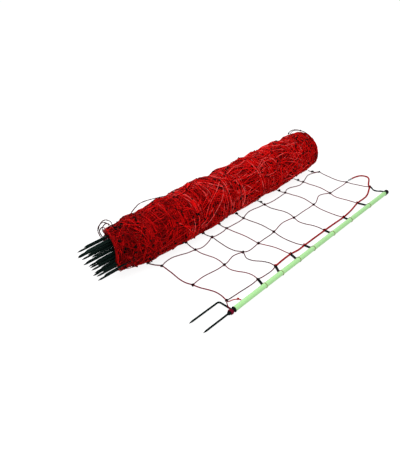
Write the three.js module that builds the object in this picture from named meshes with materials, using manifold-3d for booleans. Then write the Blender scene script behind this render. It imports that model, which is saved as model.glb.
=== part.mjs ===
// Electric sheep netting: a roll of knotted netting wound round its posts, with the last post laid out in front of
// the roll and the first cells of the net spread on the ground between them.
// Millimetres, +Z up. +X runs from the posts' spikes to their caps, +Y from the laid-out post to the roll.
import * as THREE from "three";
import { mergeVertices } from "three/addons/utils/BufferGeometryUtils.js";
import Module from "manifold-3d";

const wasm = await Module();
wasm.setup();

// The net: nine long lines, counted from the ground line up, and cross strings at every cell.
const bottomGap = 170;
const lowGap = 103;
const lowGapCount = 3;
const highGap = 150;
const highGapCount = 4;
const edgeWidth = 41; // from the laid-out post's axis to the net's edge
const firstCellWidth = 148;
const cellWidth = 156;
const twineDiameter = 3.4;
const knotDiameter = 10;
const lineStop = 12; // from the roll's axis to the nearest line end
const lineInset = 20; // from the roll's end to the nearest line end
const fit = 0.3; // the clearance wherever two pieces meet

// The posts: plastic tube, end cap, foot and two-pronged steel fork.
const tubeDiameter = 19;
const tubeWall = 3;
const capWall = 1;
const capDepth = 20;
const capEnd = 5;
const capOverhang = 25; // from the top line to the cap's end face
const footNoseDiameter = 13;
const footNoseLength = 25; // below the crossbar
const footSpigot = 28;
const crossbarDrop = 6; // from the ground line down to the crossbar
const rodDiameter = 7;
const prongSpacing = 62;
const prongLength = 145; // below the crossbar
const prongPoint = 16;
const shankLength = 26; // above the crossbar
const bendRadius = 9;

// The clips that hold the net to the laid-out post, and the strap that holds its top line.
const bandWire = 1.6;
const strapWidth = 8;
const strapThickness = 4.2;
const strapDrop = 3; // from the post's axis down to the strap's start
const topStrapDiameter = 6;

// The edge cord, its free tail and the clip on its end.
const edgeCordDiameter = 6.5;
const edgeCordStart = 2; // the line where the thick cord begins
const edgeCordLift = 1.6; // how far a knot lifts it off the ground
const edgeCordBow = 2.5;
const lastCordBow = -14; // in its last cell
const tailConnectorDiameter = 8;
const tailConnectorLength = 26;
const cornerTailDiameter = 3.4;
const lashingTurns = 3;
const lashingDiameter = 3.6;

// The roll and the posts inside it.
const rollLength = 1090;
const rollRadius = 100;
const rollOverhang = 50; // from the ground line to the roll's spike end
const rollDistance = 440; // from the laid-out post's axis to the roll's axis
const endTurns = 3;
const endTurnDepth = 3;
const rolledPosts = 13;
const rolledShift = 106; // how far the first rolled post sticks out past the laid-out one
const rolledStep = 2; // how much less each next one does
const gatherLength = 34; // how far the netting's lower edge gathers round the feet of the rolled posts
const gatherWall = 6;
const gatherSkew = 34; // how much further it reaches on the side towards the laid-out post
const gatherSide = -135; // degrees, where it reaches furthest
const bundleTurn = -44; // degrees, the slope of the rows of posts in the roll

// How far each knot has slipped from where its line would cross its string, along the post and away from it:
// the edge's knots and then those of the two full cross strings, each from the ground line up.
const knotSlips = [
  [[22, 10], [17, 3], [20, 3], [19, 6], [2, 0], [0, -1], [-5, -5], [-4, 11], [25, 44]],
  [[3, 4], [-1, 0], [6, 0], [-7, -6], [-1, -2], [-2, 1], [0, 0], [-7, 2], [-7, 1]],
  [[4, 9], [-5, -10], [2, 1], [-11, 1], [-4, 0], [0, 4], [4, 0], [2, -1], [-4, 1]],
];
// How each piece of line lies between its knots: a bow to one side and an S curl, for each column of cells.
const lineBends = [
  [[-16, -4], [-4, -10], [11, -14], [-12, 0], [10, 0], [2, -9], [7, -1], [6, -5], [0, 0]],
  [[5, 4], [-9, -5], [11, 3], [-8, -1], [-11, -1], [-11, -8], [-19, -1], [-14, -2], [8, 3]],
];
// The same for the edge's thin lower part and the two full cross strings, cell by cell from the ground line up.
const stringBends = [
  [[0, 1], [-4, 1]],
  [[7, 3], [12, -4], [-6, -2], [1, 1], [14, -2], [2, 0], [22, -9], [0, 1]],
  [[17, 5], [-10, -2], [-4, 0], [-1, 1], [17, 2], [-5, -1], [8, 10], [22, -4]],
];
// Where each line goes under the roll and where each clip grips the post, measured from the line.
const underSlip = [-19, 6, -1, -7, 5, 8, 1, 1, -20];
const clipSlip = [0, -4, 4, 1, -4, -12, 1, 10, 0];
// The roll is lumpy: how far each station, at a share of its length, stands above or below its mean radius.
const rollLumps = [
  [0.013, -5],
  [0.05, -4],
  [0.09, -3],
  [0.135, -1.5],
  [0.18, 0],
  [0.22, 2],
  [0.26, 3],
  [0.3, 4],
  [0.36, 4],
  [0.42, -3],
  [0.46, -2],
  [0.5, 0],
  [0.54, 1],
  [0.58, 1],
  [0.65, -2],
  [0.7, 4],
  [0.76, 4],
  [0.8, 2],
  [0.84, -1],
  [0.885, -2],
  [0.93, -3],
  [0.96, -4],
  [0.987, -6],
];
const rollShoulder = 5; // the drop from the first and last stations to the end faces
// The netting's folds: waves on the roll, as height, waves round it, waves along it and the first wave's start.
// Its weight presses them flat underneath.
const rollFolds = [
  [3.2, 2, 6, 0.6],
  [3, -3, 9, 2.2],
  [2, 4, 13, 4.1],
];

// Worked out from the sizes above.
const lineHeights = [0, bottomGap];
for (let i = 0; i < lowGapCount; i += 1) lineHeights.push(lineHeights.at(-1) + lowGap);
for (let i = 0; i < highGapCount; i += 1) lineHeights.push(lineHeights.at(-1) + highGap);
const netHeight = lineHeights.at(-1);
const topLine = lineHeights.length - 1;
const tubeRadius = tubeDiameter / 2;
const capRadius = tubeRadius + fit + capWall;
const bandRadius = tubeRadius + fit + bandWire / 2;
const postSides = 16;
const postHeight = (bandRadius + bandWire / 2) * Math.cos(Math.PI / postSides); // the post lies on its bands
const twineRadius = twineDiameter / 2;
const knotRadius = knotDiameter / 2;
const rodRadius = rodDiameter / 2;
const edgeCordRadius = edgeCordDiameter / 2;
const columnY = [edgeWidth, edgeWidth + firstCellWidth, edgeWidth + firstCellWidth + cellWidth];
const rollSides = 30;
const rollFlat = Math.cos(Math.PI / rollSides); // a side's middle lies nearer the axis than its corners
const rollWidest = rollRadius + Math.max(...rollLumps.map((station) => station[1]));
const rollAxisHeight = rollWidest * rollFlat;

// Materials
const paint = (color, roughness, metalness = 0) =>
  new THREE.MeshStandardMaterial({ color, roughness, metalness });
const netRed = paint(0xa01412, 0.75);
const twineDark = paint(0x5a1c26, 0.7);
const cordRed = paint(0x8e1420, 0.7);
const postGreen = paint(0x8fe08a, 0.45);
const moulded = paint(0x0c0d0e, 0.5);
const spikeSteel = paint(0x17211f, 0.45, 0.6);
const bandBrown = paint(0x7a5a2a, 0.55);
const bareSteel = paint(0x6f7779, 0.35, 0.9);

// A geometry as a solid, and a solid as a geometry.
function solidOf(geometry) {
  geometry.deleteAttribute("normal");
  geometry.deleteAttribute("uv");
  const merged = mergeVertices(geometry, 1e-3);
  return new wasm.Manifold(
    new wasm.Mesh({
      numProp: 3,
      vertProperties: merged.attributes.position.array,
      triVerts: new Uint32Array(merged.index.array),
    }),
  );
}

function geometryOf(solid) {
  const mesh = solid.getMesh();
  const geometry = new THREE.BufferGeometry();
  geometry.setAttribute("position", new THREE.BufferAttribute(mesh.vertProperties, 3));
  geometry.setIndex(Array.from(mesh.triVerts));
  const faceted = geometry.toNonIndexed();
  faceted.computeVertexNormals();
  return faceted;
}

function joined(solids) {
  return solids.reduce((whole, next) => whole.add(next));
}

// A solid turned about the X axis, from [x, radius] points that run up the outside and back down the inside.
function turned(profile, sides) {
  const points = profile.map(([x, radius]) => new THREE.Vector2(radius, x));
  points.push(points[0].clone());
  const geometry = new THREE.LatheGeometry(points, sides);
  geometry.rotateY(Math.PI / sides);
  geometry.rotateZ(-Math.PI / 2);
  return geometry;
}

// A round bar from one x to another along the X axis, with an optional point at its low end.
function bar(fromX, toX, radius, sides, point = 0) {
  const profile = [[fromX, 0]];
  if (point > 0) profile.push([fromX + point, radius]);
  else profile.push([fromX, radius]);
  profile.push([toX, radius], [toX, 0]);
  return turned(profile, sides);
}

// A tube along a smooth curve through points.
function tube(points, radius, sides, steps) {
  const outline = new THREE.Shape();
  for (let k = 0; k < sides; k += 1) {
    const angle = (2 * Math.PI * (k + 0.5)) / sides;
    const corner = [radius * Math.cos(angle), radius * Math.sin(angle)];
    if (k === 0) outline.moveTo(...corner);
    else outline.lineTo(...corner);
  }
  outline.closePath();
  const extrudePath = new THREE.CatmullRomCurve3(points.map((p) => new THREE.Vector3(...p)));
  return new THREE.ExtrudeGeometry(outline, { steps, extrudePath, bevelEnabled: false });
}

function ball(centre, radius) {
  return new THREE.IcosahedronGeometry(radius, 0).translate(...centre);
}

const parts = new THREE.Group();
function place(name, geometry, material, parent = parts) {
  const mesh = new THREE.Mesh(geometry, material);
  mesh.name = name;
  parent.add(mesh);
  return mesh;
}

// The fork: a bar bent square for the crossbar and the outer prong, welded across the inner prong.
// Its frame has the post's axis on X, the crossbar towards +Y and the ground line at x = 0.
function forkSolid(grow, sides) {
  const radius = rodRadius + grow;
  const barX = -crossbarDrop;
  const tipX = barX - prongLength;
  const lap = 0.5;
  const inner = bar(tipX, barX + shankLength + grow, radius, sides, prongPoint);
  const crossbar = new THREE.CylinderGeometry(radius, radius, prongSpacing - bendRadius + lap, sides);
  crossbar.rotateY(Math.PI / sides);
  crossbar.translate(barX, (prongSpacing - bendRadius + lap) / 2, 0);
  const outer = bar(tipX, barX - bendRadius + lap, radius, sides, prongPoint).translate(0, prongSpacing, 0);
  const bend = tube(
    [0, 0.25, 0.5, 0.75, 1].map((share) => [
      barX - bendRadius * (1 - Math.cos((share * Math.PI) / 2)),
      prongSpacing - bendRadius * (1 - Math.sin((share * Math.PI) / 2)),
      0,
    ]),
    radius,
    sides,
    2,
  );
  return joined([inner, crossbar, outer, bend].map(solidOf));
}

const forkSides = 6;
const forkGeometry = geometryOf(forkSolid(0, forkSides));
const forkSpace = forkSolid(fit, forkSides);

// The foot: a collar that stops the tube, a nose down the inner prong and a spigot up the tube.
const footSides = 12;
const footTop = fit;
const noseX = -crossbarDrop - footNoseLength;
const noseRadius = footNoseDiameter / 2;
const noseChamfer = 3;
const noseTip = noseRadius - 2;
const noseTop = -1; // where the nose widens into the collar
const spigotRadius = tubeRadius - tubeWall - fit;
const tubeFoot = footTop + capWall + fit;
function footSolid() {
  const profile = [
    [noseX, 0],
    [noseX, noseTip],
    [noseX + noseChamfer, noseRadius],
    [noseTop, noseRadius],
    [footTop, capRadius],
    [footTop + capWall, capRadius],
    [footTop + capWall, spigotRadius],
    [footSpigot, spigotRadius],
    [footSpigot, 0],
  ];
  return solidOf(turned(profile, footSides)).subtract(forkSpace);
}

// The tube is open at both ends: the foot's spigot fills one and the cap closes over the other.
const capFace = netHeight + capOverhang;
const tubeTop = capFace - capEnd - fit;
function tubeGeometry() {
  const bore = tubeRadius - tubeWall;
  return turned(
    [
      [tubeFoot, bore],
      [tubeFoot, tubeRadius],
      [tubeTop, tubeRadius],
      [tubeTop, bore],
    ],
    postSides,
  );
}

const capMouth = tubeTop - capDepth;
const capChamfer = 3;
function capGeometry() {
  return turned(
    [
      [capMouth, tubeRadius + fit],
      [capMouth, capRadius],
      [capFace - capChamfer, capRadius],
      [capFace, capRadius - capChamfer],
      [capFace, 0],
      [tubeTop + fit, 0],
      [tubeTop + fit, tubeRadius + fit],
    ],
    postSides,
  );
}

// A rolled-up post: tube, cap and foot as one solid, since the roll hides where they join
const rolledChamfer = 2;
function rolledPostGeometry() {
  const profile = [
    [noseX, 0],
    [noseX, noseTip],
    [noseX + noseChamfer, noseRadius],
    [noseTop, noseRadius],
    [footTop, tubeRadius],
    [capFace - rolledChamfer, tubeRadius],
    [capFace, tubeRadius - rolledChamfer],
    [capFace, 0],
  ];
  return geometryOf(solidOf(turned(profile, footSides)).subtract(forkSpace));
}

// The laid-out post
const laidPost = new THREE.Group();
laidPost.position.z = postHeight;
parts.add(laidPost);
place("post_tube", tubeGeometry(), postGreen, laidPost);
place("post_cap", capGeometry(), moulded, laidPost);
place("post_foot", geometryOf(footSolid()), moulded, laidPost);
place("post_fork", forkGeometry, spikeSteel, laidPost);

// A knot of the net, by its column and line
const knotHeight = knotRadius;
function knotAt(column, line) {
  const [slipX, slipY] = knotSlips[column][line];
  return [lineHeights[line] + slipX, columnY[column] + slipY, knotHeight];
}
const edgeKnot = (line) => knotAt(0, line);

// A piece of twine from one knot to the next, which lies on the ground between them.
function twinePoints(from, to, [bow, curl]) {
  const [dx, dy] = [to[0] - from[0], to[1] - from[1]];
  const length = Math.hypot(dx, dy);
  return [0, 0.25, 0.5, 0.75, 1].map((share) => {
    const aside = bow * Math.sin(Math.PI * share) + curl * Math.sin(2 * Math.PI * share);
    const height = share === 0 || share === 1 ? knotHeight : twineRadius;
    return [from[0] + dx * share - (dy / length) * aside, from[1] + dy * share + (dx / length) * aside, height];
  });
}

// The roll's radius at x, between its first and last stations
const rollStart = -rollOverhang;
const rollEnd = rollStart + rollLength;
function rollRadiusAt(x) {
  const share = (x - rollStart) / rollLength;
  const after = rollLumps.findIndex((station) => station[0] > share);
  if (after < 0) return rollRadius + rollLumps.at(-1)[1];
  const [[s0, r0], [s1, r1]] = [rollLumps[Math.max(after - 1, 0)], rollLumps[Math.max(after, 1)]];
  return rollRadius + r0 + ((r1 - r0) * (share - s0)) / (s1 - s0);
}

// Each line runs under the roll until the roll's underside is in its way, or else nearly to the roll's middle.
function lineEnd(line) {
  const x = Math.min(lineHeights[line] + underSlip[line], rollEnd - lineInset);
  const radius = rollRadiusAt(x) * rollFlat;
  const drop = rollAxisHeight - twineDiameter - 2 * fit;
  const touch = Math.sqrt(Math.max(0, radius * radius - drop * drop));
  return [x, rollDistance - Math.max(touch, lineStop), twineRadius];
}

// The spread netting: lines, cross strings and knots in one piece
const edgePath = [];
for (let i = edgeCordStart; i <= topLine; i += 1) edgePath.push(edgeKnot(i));
const edgeCordHeight = edgeCordRadius + edgeCordLift;
const edgeCordPoints = [];
edgePath.forEach((knot, n) => {
  edgeCordPoints.push([knot[0], knot[1], edgeCordHeight]);
  const next = edgePath[n + 1];
  if (next === undefined) return;
  const bow = n === edgePath.length - 2 ? lastCordBow : edgeCordBow * Math.sin(4 * n + 1);
  edgeCordPoints.push([(knot[0] + next[0]) / 2, (knot[1] + next[1]) / 2 + bow, edgeCordRadius]);
});
const edgeCordTube = (grow) => solidOf(tube(edgeCordPoints, edgeCordRadius + grow, 8, 30));

function netSolid(grow) {
  const pieces = [];
  const strand = (points) => pieces.push(solidOf(tube(points, twineRadius + grow, 4, points.length - 1)));
  const knot = (centre) => pieces.push(solidOf(ball(centre, knotRadius + grow)));
  for (let i = 0; i <= topLine; i += 1) {
    columnY.forEach((_, column) => knot(knotAt(column, i)));
    lineBends.forEach((bends, column) => strand(twinePoints(knotAt(column, i), knotAt(column + 1, i), bends[i])));
    const last = knotAt(columnY.length - 1, i);
    const end = lineEnd(i);
    strand([last, [(last[0] + end[0]) / 2, (last[1] + end[1]) / 2, twineRadius], end]);
    stringBends.forEach((bends, column) => {
      if (i < bends.length) strand(twinePoints(knotAt(column, i), knotAt(column, i + 1), bends[i]));
    });
  }
  return joined(pieces);
}
const netSpace = netSolid(fit);
place("netting_spread", geometryOf(netSolid(0).subtract(edgeCordTube(fit))), twineDark);
place("edge_cord", geometryOf(edgeCordTube(0)), cordRed);

// A clip for each line between the ends: a wire band round the post and a strap out to the edge knot
const bandProfile = (grow) => {
  const half = bandWire / 2 + grow;
  return [
    [-half, bandRadius - half],
    [-half, bandRadius + half],
    [half, bandRadius + half],
    [half, bandRadius - half],
  ];
};

function strapGeometry(i, clipX) {
  const knot = new THREE.Vector3(...edgeKnot(i));
  const start = new THREE.Vector3(clipX, bandRadius, postHeight - strapDrop);
  const along = knot.clone().sub(start);
  const reach = along.length() - knotRadius / 2;
  const strap = new THREE.BoxGeometry(reach, strapWidth, strapThickness).translate(reach / 2, 0, 0);
  const turn = new THREE.Matrix4().makeBasis(
    along.clone().normalize(),
    new THREE.Vector3(-along.y, along.x, 0).normalize(),
    new THREE.Vector3().crossVectors(along, new THREE.Vector3(-along.y, along.x, 0)).normalize(),
  );
  strap.applyMatrix4(turn).translate(start.x, start.y, start.z);
  const band = solidOf(turned(bandProfile(fit), postSides).translate(clipX, 0, postHeight));
  const nearPost = bar(clipX - reach, clipX + reach, tubeRadius + fit, postSides);
  const post = solidOf(nearPost.translate(0, 0, postHeight));
  return geometryOf(solidOf(strap).subtract(joined([band, post, netSpace, edgeCordTube(fit)])));
}

for (let i = 1; i < topLine; i += 1) {
  const clipX = lineHeights[i] + clipSlip[i];
  place(`clip_band_${i}`, turned(bandProfile(0), postSides).translate(clipX, 0, 0), bandBrown, laidPost);
  place(`clip_strap_${i}`, strapGeometry(i, clipX), moulded);
}

// The top strap: a kinked black cord from the cap to the top line's knot
const topKnot = edgeKnot(topLine);
const topStrapRadius = topStrapDiameter / 2;
const topStrapRest = topStrapRadius + 2 * fit; // the height of its middle where it dips to the ground
const topStrapRoute = [
  [capFace - 8, capRadius + fit, postHeight - 1],
  [capFace - 6, capRadius + 14, 2 * topStrapRadius],
  [capFace - 13, 42, topStrapRest],
  [capFace - 14, 58, topStrapRest],
  [topKnot[0] - 2, topKnot[1] - 11, topStrapRest],
  [topKnot[0], topKnot[1] - knotRadius - 1.5, knotHeight],
];
const topStrap = tube(topStrapRoute, topStrapRadius, 6, 9);
place(
  "top_strap",
  geometryOf(
    solidOf(topStrap).subtract(
      joined([
        netSpace,
        edgeCordTube(fit),
        solidOf(bar(capMouth - 1, capFace + 1, capRadius + fit, postSides).translate(0, 0, postHeight)),
      ]),
    ),
  ),
  moulded,
);

// The lashing: turns of cord round the foot's nose and a strand up to the net's corner knot
const lashingRadius = lashingDiameter / 2;
const lashingGap = 1.5; // from the crossbar
const lashingX = -crossbarDrop - rodRadius - lashingGap - lashingDiameter * lashingTurns;
function lashingSolid() {
  const inside = noseRadius + fit;
  const profile = [[lashingX, inside]];
  for (let k = 0; k < lashingTurns; k += 1) {
    const left = lashingX + k * lashingDiameter;
    profile.push(
      [left + 0.2 * lashingDiameter, inside + lashingDiameter],
      [left + 0.8 * lashingDiameter, inside + lashingDiameter],
      [left + lashingDiameter, inside + 0.7 * lashingDiameter],
    );
  }
  profile.push([lashingX + lashingTurns * lashingDiameter, inside]);
  const ring = solidOf(turned(profile, footSides).translate(0, 0, postHeight));
  const [cornerX, cornerY] = edgeKnot(0);
  const overFork = postHeight + rodRadius + lashingRadius + 2 * fit;
  const strandRoute = [
    [lashingX + 5, inside + lashingRadius, postHeight + 2],
    [lashingX + 7, 15, overFork],
    [-crossbarDrop, 25, overFork + 0.5],
    [3, 34, overFork - 3],
    [12, 43, 7],
    [cornerX, cornerY, knotHeight],
  ];
  const strand = solidOf(tube(strandRoute, lashingRadius, 6, 10));
  return joined([ring, strand]).subtract(joined([netSpace, forkSpace.translate([0, 0, postHeight])]));
}
place("foot_lashing", geometryOf(lashingSolid()), cordRed);

// The corner tail: the ground line's free end, with a knot in it
const cornerTail = [
  [edgeKnot(0)[0] + 1, edgeKnot(0)[1] - knotRadius],
  [28, 43.5],
  [36, 41.5],
  [46, 38],
  [56, 29],
  [62, 19],
].map(([x, y]) => [x, y, cornerTailDiameter / 2 + fit]);
const tailKnotRadius = 4;
const tailKnot = ball([56, 29, tailKnotRadius], tailKnotRadius);
place(
  "corner_tail",
  geometryOf(
    joined([solidOf(tube(cornerTail, cornerTailDiameter / 2, 8, 12)), solidOf(tailKnot)]).subtract(netSpace),
  ),
  cordRed,
);

// The edge cord's free tail: an arc on the ground past the top line, with a steel connector on its end
const tailPoints = [
  [topKnot[0] + knotRadius / Math.SQRT2, topKnot[1] + knotRadius / Math.SQRT2],
  [1116, 97],
  [1137, 108],
  [1163, 120],
  [1183, 132],
  [1192, 147],
  [1187, 166],
  [1175, 177],
  [1158, 184],
  [1140, 188.5],
  [1122, 190.5],
].map(([x, y], n) => [x, y, n === 0 ? knotHeight : edgeCordRadius + fit]);
place("edge_tail", geometryOf(solidOf(tube(tailPoints, edgeCordRadius, 8, 40)).subtract(netSpace)), cordRed);
const connector = bar(-tailConnectorLength, 0, tailConnectorDiameter / 2, 10);
const connectorMesh = place("tail_connector", connector, bareSteel);
const [[beforeX, beforeY], [tailX, tailY]] = tailPoints.slice(-2);
connectorMesh.position.set(tailX - 2 * fit, tailY, tailConnectorDiameter / 2);
connectorMesh.rotation.z = Math.atan2(beforeY - tailY, beforeX - tailX);

// The posts inside the roll lie in rows, turned alternately so that their forks nest: each rod's flat side lies
// against the flat side of the next foot. Posts of one side lie in a zigzag.
const noseFlat = (footNoseDiameter / 2) * Math.cos(Math.PI / footSides);
const rodFlat = rodRadius * Math.cos(Math.PI / forkSides);
const rowPitch = noseFlat + rodFlat + fit;
const sameSide = 2 * rowPitch;
const zigzag = Math.sqrt(Math.max(0, (tubeDiameter + fit) ** 2 - sameSide ** 2)) / 2;
const bundlePlaces = [];
for (let k = 0; k < rolledPosts; k += 1) {
  const row = (k - (rolledPosts - 1) / 2) * rowPitch;
  const across = prongSpacing / 2 + (k % 4 < 2 ? zigzag : -zigzag);
  bundlePlaces.push({ row, across, way: k % 2 === 0 ? 1 : -1 });
}
const bundleRadius = Math.max(...bundlePlaces.map(({ row, across }) => Math.hypot(row, across))) + tubeRadius;
const boreRadius = (bundleRadius + fit) / rollFlat;

// The roll: one turned solid with its bore and the edges of its turns standing out on its ends, then folded. At the
// spikes' end the turns reach further the nearer they are to the bore.
const roll = new THREE.Group();
roll.position.set(0, rollDistance, rollAxisHeight);
parts.add(roll);
function rollGeometry() {
  const endRadius = rollRadius + rollLumps[0][1] - rollShoulder;
  const farRadius = rollRadius + rollLumps.at(-1)[1] - rollShoulder;
  const steps = 2 * endTurns;
  const dip = (k) => (k % 2) * endTurnDepth;
  const gathered = boreRadius + gatherWall;
  const profile = [[rollStart - gatherLength, boreRadius]];
  for (let k = 0; k <= steps; k += 1) {
    const share = k / steps;
    const x = rollStart - gatherLength * (1 - share) + dip(k);
    profile.push([x, gathered + share * (endRadius - gathered)]);
  }
  rollLumps.forEach(([share, lump]) => profile.push([rollStart + share * rollLength, rollRadius + lump]));
  for (let k = steps; k >= 0; k -= 1) {
    profile.push([rollEnd - dip(k), boreRadius + (k / steps) * (farRadius - boreRadius)]);
  }
  const geometry = turned(profile, rollSides);
  const places = geometry.attributes.position;
  for (let n = 0; n < places.count; n += 1) {
    const [x, y, z] = [places.getX(n), places.getY(n), places.getZ(n)];
    const radius = Math.hypot(y, z);
    const angle = Math.atan2(z, y);
    const outside = Math.min(Math.max((radius - boreRadius) / (endRadius - boreRadius), 0), 1);
    const grown = 1 + (outside * foldAt((x - rollStart) / rollLength, angle)) / radius;
    const pulled = Math.max(0, (rollStart - x) / gatherLength);
    const facing = (1 + Math.cos(angle - (gatherSide * Math.PI) / 180)) / 2;
    places.setXYZ(n, x - gatherSkew * pulled * facing, y * grown, z * grown);
  }
  return geometry;
}

// How far the folds lift or sink the roll's surface, at a share of its length and an angle round it
function foldAt(share, angle) {
  const waves = rollFolds.map(([height, round, along, start]) => {
    return height * Math.sin(2 * Math.PI * along * share + round * angle + start);
  });
  const pressed = (1 + Math.sin(angle)) / 2;
  return pressed * waves.reduce((sum, wave) => sum + wave);
}
place("netting_roll", rollGeometry(), netRed, roll);

const rolledGeometry = rolledPostGeometry();
const bundle = new THREE.Group();
bundle.rotation.x = (bundleTurn * Math.PI) / 180;
roll.add(bundle);
bundlePlaces.forEach(({ row, across, way }, k) => {
  const post = new THREE.Group();
  post.position.set(-rolledShift + k * rolledStep, -way * across, -row);
  if (way < 0) post.rotation.x = Math.PI;
  bundle.add(post);
  const number = String(k + 1).padStart(2, "0");
  place(`rolled_post_${number}`, rolledGeometry, postGreen, post);
  place(`rolled_fork_${number}`, forkGeometry, spikeSteel, post);
});

// The frame's origin is on the ground, under the middle of everything but the loose tails.
const looseTails = ["corner_tail", "edge_tail", "tail_connector"];
const firm = new THREE.Box3();
parts.updateMatrixWorld(true);
parts.traverse((piece) => {
  if (piece.isMesh && !looseTails.includes(piece.name)) firm.expandByObject(piece, true);
});
const middle = firm.getCenter(new THREE.Vector3());
parts.position.set(-middle.x, -middle.y, -firm.min.z);

const netting = new THREE.Group();
netting.add(parts);
export default netting;
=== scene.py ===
import math
import random

import bmesh
import bpy
from mathutils import Matrix, Vector, noise


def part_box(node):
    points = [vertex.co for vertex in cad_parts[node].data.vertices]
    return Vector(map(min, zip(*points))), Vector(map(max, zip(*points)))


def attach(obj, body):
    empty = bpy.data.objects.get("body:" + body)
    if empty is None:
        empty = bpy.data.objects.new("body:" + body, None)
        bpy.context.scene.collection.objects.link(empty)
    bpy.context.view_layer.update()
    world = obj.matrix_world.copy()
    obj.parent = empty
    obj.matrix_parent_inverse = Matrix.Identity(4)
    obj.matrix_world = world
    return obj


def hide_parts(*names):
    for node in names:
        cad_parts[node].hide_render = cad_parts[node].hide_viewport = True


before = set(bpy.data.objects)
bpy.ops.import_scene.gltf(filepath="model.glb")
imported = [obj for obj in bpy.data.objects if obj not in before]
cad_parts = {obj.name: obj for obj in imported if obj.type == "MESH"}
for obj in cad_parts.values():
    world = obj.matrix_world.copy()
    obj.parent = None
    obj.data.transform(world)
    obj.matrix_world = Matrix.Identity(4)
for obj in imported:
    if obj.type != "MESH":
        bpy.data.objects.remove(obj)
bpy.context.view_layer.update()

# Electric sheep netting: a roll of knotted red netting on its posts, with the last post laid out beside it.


# The camera stands in front of the laid-out post's foot, a little above a person's waist, and looks down over
# the spread netting to the roll. Places are counted from the laid-out post's tube.
tube_low, tube_high = (Vector(corner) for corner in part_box("post_tube"))
tube_gap = 0.0016  # from the ground line to the tube's low end
ground_line = tube_low.x - tube_gap
post_axis = Vector((ground_line, (tube_low.y + tube_high.y) / 2, (tube_low.z + tube_high.z) / 2))


def spot(up_post, away, height):
    """A place in metres, from millimetres up the post from the ground line, away from its axis and above ground."""
    return Vector((ground_line + up_post / 1000, post_axis.y + away / 1000, height / 1000))


camera_lens = bpy.data.cameras.new("camera")
camera_lens.lens = 39.49
camera_lens.sensor_width = 36
camera_lens.clip_end = 60
camera = bpy.data.objects.new("camera", camera_lens)
bpy.context.collection.objects.link(camera)
camera.location = spot(-992.2, -776.6, 1149)
camera.rotation_euler = (spot(284.8, 422.4, 0) - camera.location).to_track_quat("-Z", "Y").to_euler()
bpy.context.scene.camera = camera


# The free end of the edge cord lies in an arc on the ground past the top line, and ends in a crimped steel
# connector. It is a laid cord of three strands of polyethylene, red with a dark tracer.
def smooth_path(points, step):
    """Points about one step apart along a smooth curve through the given ones."""
    ends = [2 * points[0] - points[1], *points, 2 * points[-1] - points[-2]]
    path = []
    for a, b, c, d in zip(ends, ends[1:], ends[2:], ends[3:]):
        count = max(1, round((c - b).length / step))
        for k in range(count):
            t = k / count
            bend = (2 * a - 5 * b + 4 * c - d) * t * t + (3 * b - a - 3 * c + d) * t * t * t
            path.append(b + ((c - a) * t + bend) / 2)
    path.append(points[-1].copy())
    return path


def hang(name, mesh, finish, slot_name, *nodes):
    """Put a finished mesh in the scene in place of its nodes."""
    made = bpy.data.objects.new(name, mesh)
    bpy.context.collection.objects.link(made)
    mesh.materials.append(finish)
    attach(made, "root")
    if nodes:
        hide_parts(*nodes)
    return made


def strand_mesh(name, paths, radius, lay, section_points, lobes, shades=None):
    """Twisted strands along paths: a lobed section that turns once in every lay, and the tone of each strand."""
    section = bpy.data.curves.new(name + "_section", "CURVE")
    ring = section.splines.new("POLY")
    ring.points.add(section_points - 1)
    ring.use_cyclic_u = True
    for k, point in enumerate(ring.points):
        angle = math.tau * k / section_points
        reach = radius * (0.8 + 0.2 * abs(math.cos(lobes * angle / 2))) if lobes else radius
        point.co = (reach * math.cos(angle), reach * math.sin(angle), 0, 1)
    section_object = bpy.data.objects.new(name + "_section", section)
    bpy.context.collection.objects.link(section_object)
    line = bpy.data.curves.new(name + "_line", "CURVE")
    line.dimensions = "3D"
    line.bevel_mode = "OBJECT"
    line.bevel_object = section_object
    tones = []
    for number, path in enumerate(paths):
        spline = line.splines.new("POLY")
        spline.points.add(len(path) - 1)
        travelled = 0
        strand_tone = shades[number] if shades else random.Random(number).random()
        for k, place in enumerate(path):
            if k:
                travelled += (place - path[k - 1]).length
            spline.points[k].co = (*place, 1)
            spline.points[k].tilt = math.tau * travelled / lay
            local = noise.noise(Vector((travelled * 38, number * 3.7, 0)))
            tones += [strand_tone + 0.55 * local] * section_points
    line_object = bpy.data.objects.new(name + "_line", line)
    bpy.context.collection.objects.link(line_object)
    bpy.context.view_layer.update()
    shaped = line_object.evaluated_get(bpy.context.evaluated_depsgraph_get())
    mesh = bpy.data.meshes.new_from_object(shaped)
    mesh.name = name
    mesh.materials.clear()
    bpy.data.objects.remove(line_object)
    bpy.data.objects.remove(section_object)
    mesh.attributes.new("tone", "FLOAT", "POINT").data.foreach_set("value", tones)
    capped = bmesh.new()
    capped.from_mesh(mesh)
    bmesh.ops.holes_fill(capped, edges=capped.edges, sides=section_points)
    capped.to_mesh(mesh)
    capped.free()
    mesh.shade_smooth()
    return mesh


def node_group(name, inputs, outputs):
    """An empty shader node group with named number inputs and named outputs."""
    group = bpy.data.node_groups.new(name, "ShaderNodeTree")
    for label, value in inputs.items():
        group.interface.new_socket(label, in_out="INPUT", socket_type="NodeSocketFloat").default_value = value
    for label, kind in outputs.items():
        group.interface.new_socket(label, in_out="OUTPUT", socket_type=kind)
    return group, group.nodes.new("NodeGroupInput"), group.nodes.new("NodeGroupOutput")


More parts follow.
